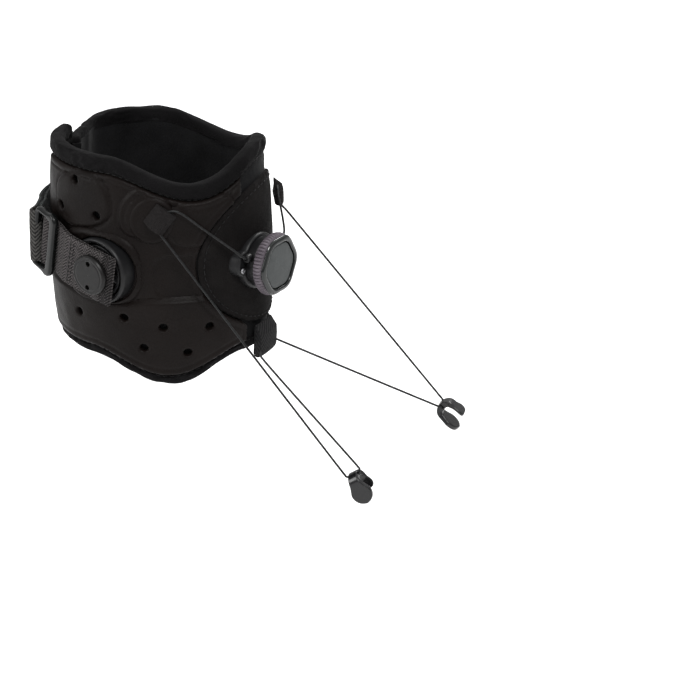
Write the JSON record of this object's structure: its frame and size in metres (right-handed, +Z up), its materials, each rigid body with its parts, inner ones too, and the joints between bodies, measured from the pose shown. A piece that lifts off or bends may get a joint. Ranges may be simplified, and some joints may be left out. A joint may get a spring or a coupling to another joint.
{
  "type": "ankle foot orthosis",
  "caption": "Padded ankle cuff with moulded side shells, a rear strap with a swivelling buckle, and a front reel dial whose thin lace runs through webbing guides to two shoe hooks.",
  "frame": {"origin": "on the axis of the leg that the cuff is worn on, level with the lowest point of the cuff's rim", "axes": "+Z up along the leg, +X to the front of the leg, -Y to the outer side that carries the strap's swivel"},
  "size_m": [0.2065, 0.1034, 0.1707],
  "materials": {
    "pad_fabric": "brushed black knit over foam",
    "binding_fabric": "soft black binding",
    "shell_skin": "moulded foam with a dull charcoal skin",
    "webbing": "woven grey and black webbing",
    "black_plastic": "satin moulded plastic",
    "gloss_plastic": "glossy black moulded plastic",
    "grip_rubber": "purple-grey ridged rubber",
    "cap_plastic": "matte dark grey",
    "steel": "plain steel",
    "coated_lace": "black nylon-coated steel strand"
  },
  "bodies": {
    "cuff": {"inner_pad": "pad_fabric", "top_binding": "binding_fabric", "bottom_binding": "binding_fabric", "outer_shell": "shell_skin", "inner_shell": "shell_skin", "front_patch": "pad_fabric", "pivot_panel": "shell_skin", "pivot_ring": "black_plastic", "rear_strap": "webbing", "strap_landing": "pad_fabric", "dial_flange": "black_plastic", "dial_screw_1": "steel", "dial_screw_2": "steel", "dial_housing": "black_plastic", "outer_guide_patch": "shell_skin", "outer_guide": "webbing", "inner_guide": "webbing", "front_loop": "webbing", "lace": "coated_lace"},
    "strap_tab": {"swivel_disc": "black_plastic", "rivet_cap": "black_plastic", "buckle_ring": "gloss_plastic", "webbing_tab": "webbing", "strap_fold": "webbing"},
    "post": {"centre_post": "steel"},
    "knob": {"pawl_disc": "black_plastic", "knob_core": "black_plastic", "knob_grip": "grip_rubber", "knob_bezel": "gloss_plastic", "knob_cap": "cap_plastic"},
    "spool": {"spool": "black_plastic"},
    "outer_hook": {"outer_hook": "gloss_plastic"},
    "inner_hook": {"inner_hook": "gloss_plastic"}
  },
  "joints": [
    {"name": "strap_swivel", "type": "hinge", "parent": "cuff", "child": "strap_tab", "pos_m": [-0.01477, -0.04219, 0.059], "axis": [-0.3919, -0.92, 0], "range_deg": [-8, 8]},
    {"name": "knob_pull", "type": "slide", "parent": "cuff", "child": "post", "axis": [0.9397, -0.342, 0], "range_m": [0, 0.0025]},
    {"name": "knob_turn", "type": "hinge", "parent": "post", "child": "knob", "pos_m": [0.05053, -0.01401, 0.0575], "axis": [0.9397, -0.342, 0], "continuous": true},
    {"name": "spool_turn", "type": "hinge", "parent": "cuff", "child": "spool", "pos_m": [0.05053, -0.01401, 0.0575], "axis": [0.9397, -0.342, 0], "continuous": true},
    {"name": "outer_hook_swing", "type": "hinge", "parent": "cuff", "child": "outer_hook", "pos_m": [0.1016, -0.03, -0.0447], "axis": [0.8351, 0, 0.5501], "range_deg": [-40, 40]},
    {"name": "inner_hook_swing", "type": "hinge", "parent": "cuff", "child": "inner_hook", "pos_m": [0.1355, 0.026, -0.0305], "axis": [0, -1, 0], "range_deg": [-40, 40]}
  ],
  "couplings": [
    {"joint": "spool_turn", "follows": "knob_turn", "ratio": 1}
  ]
}
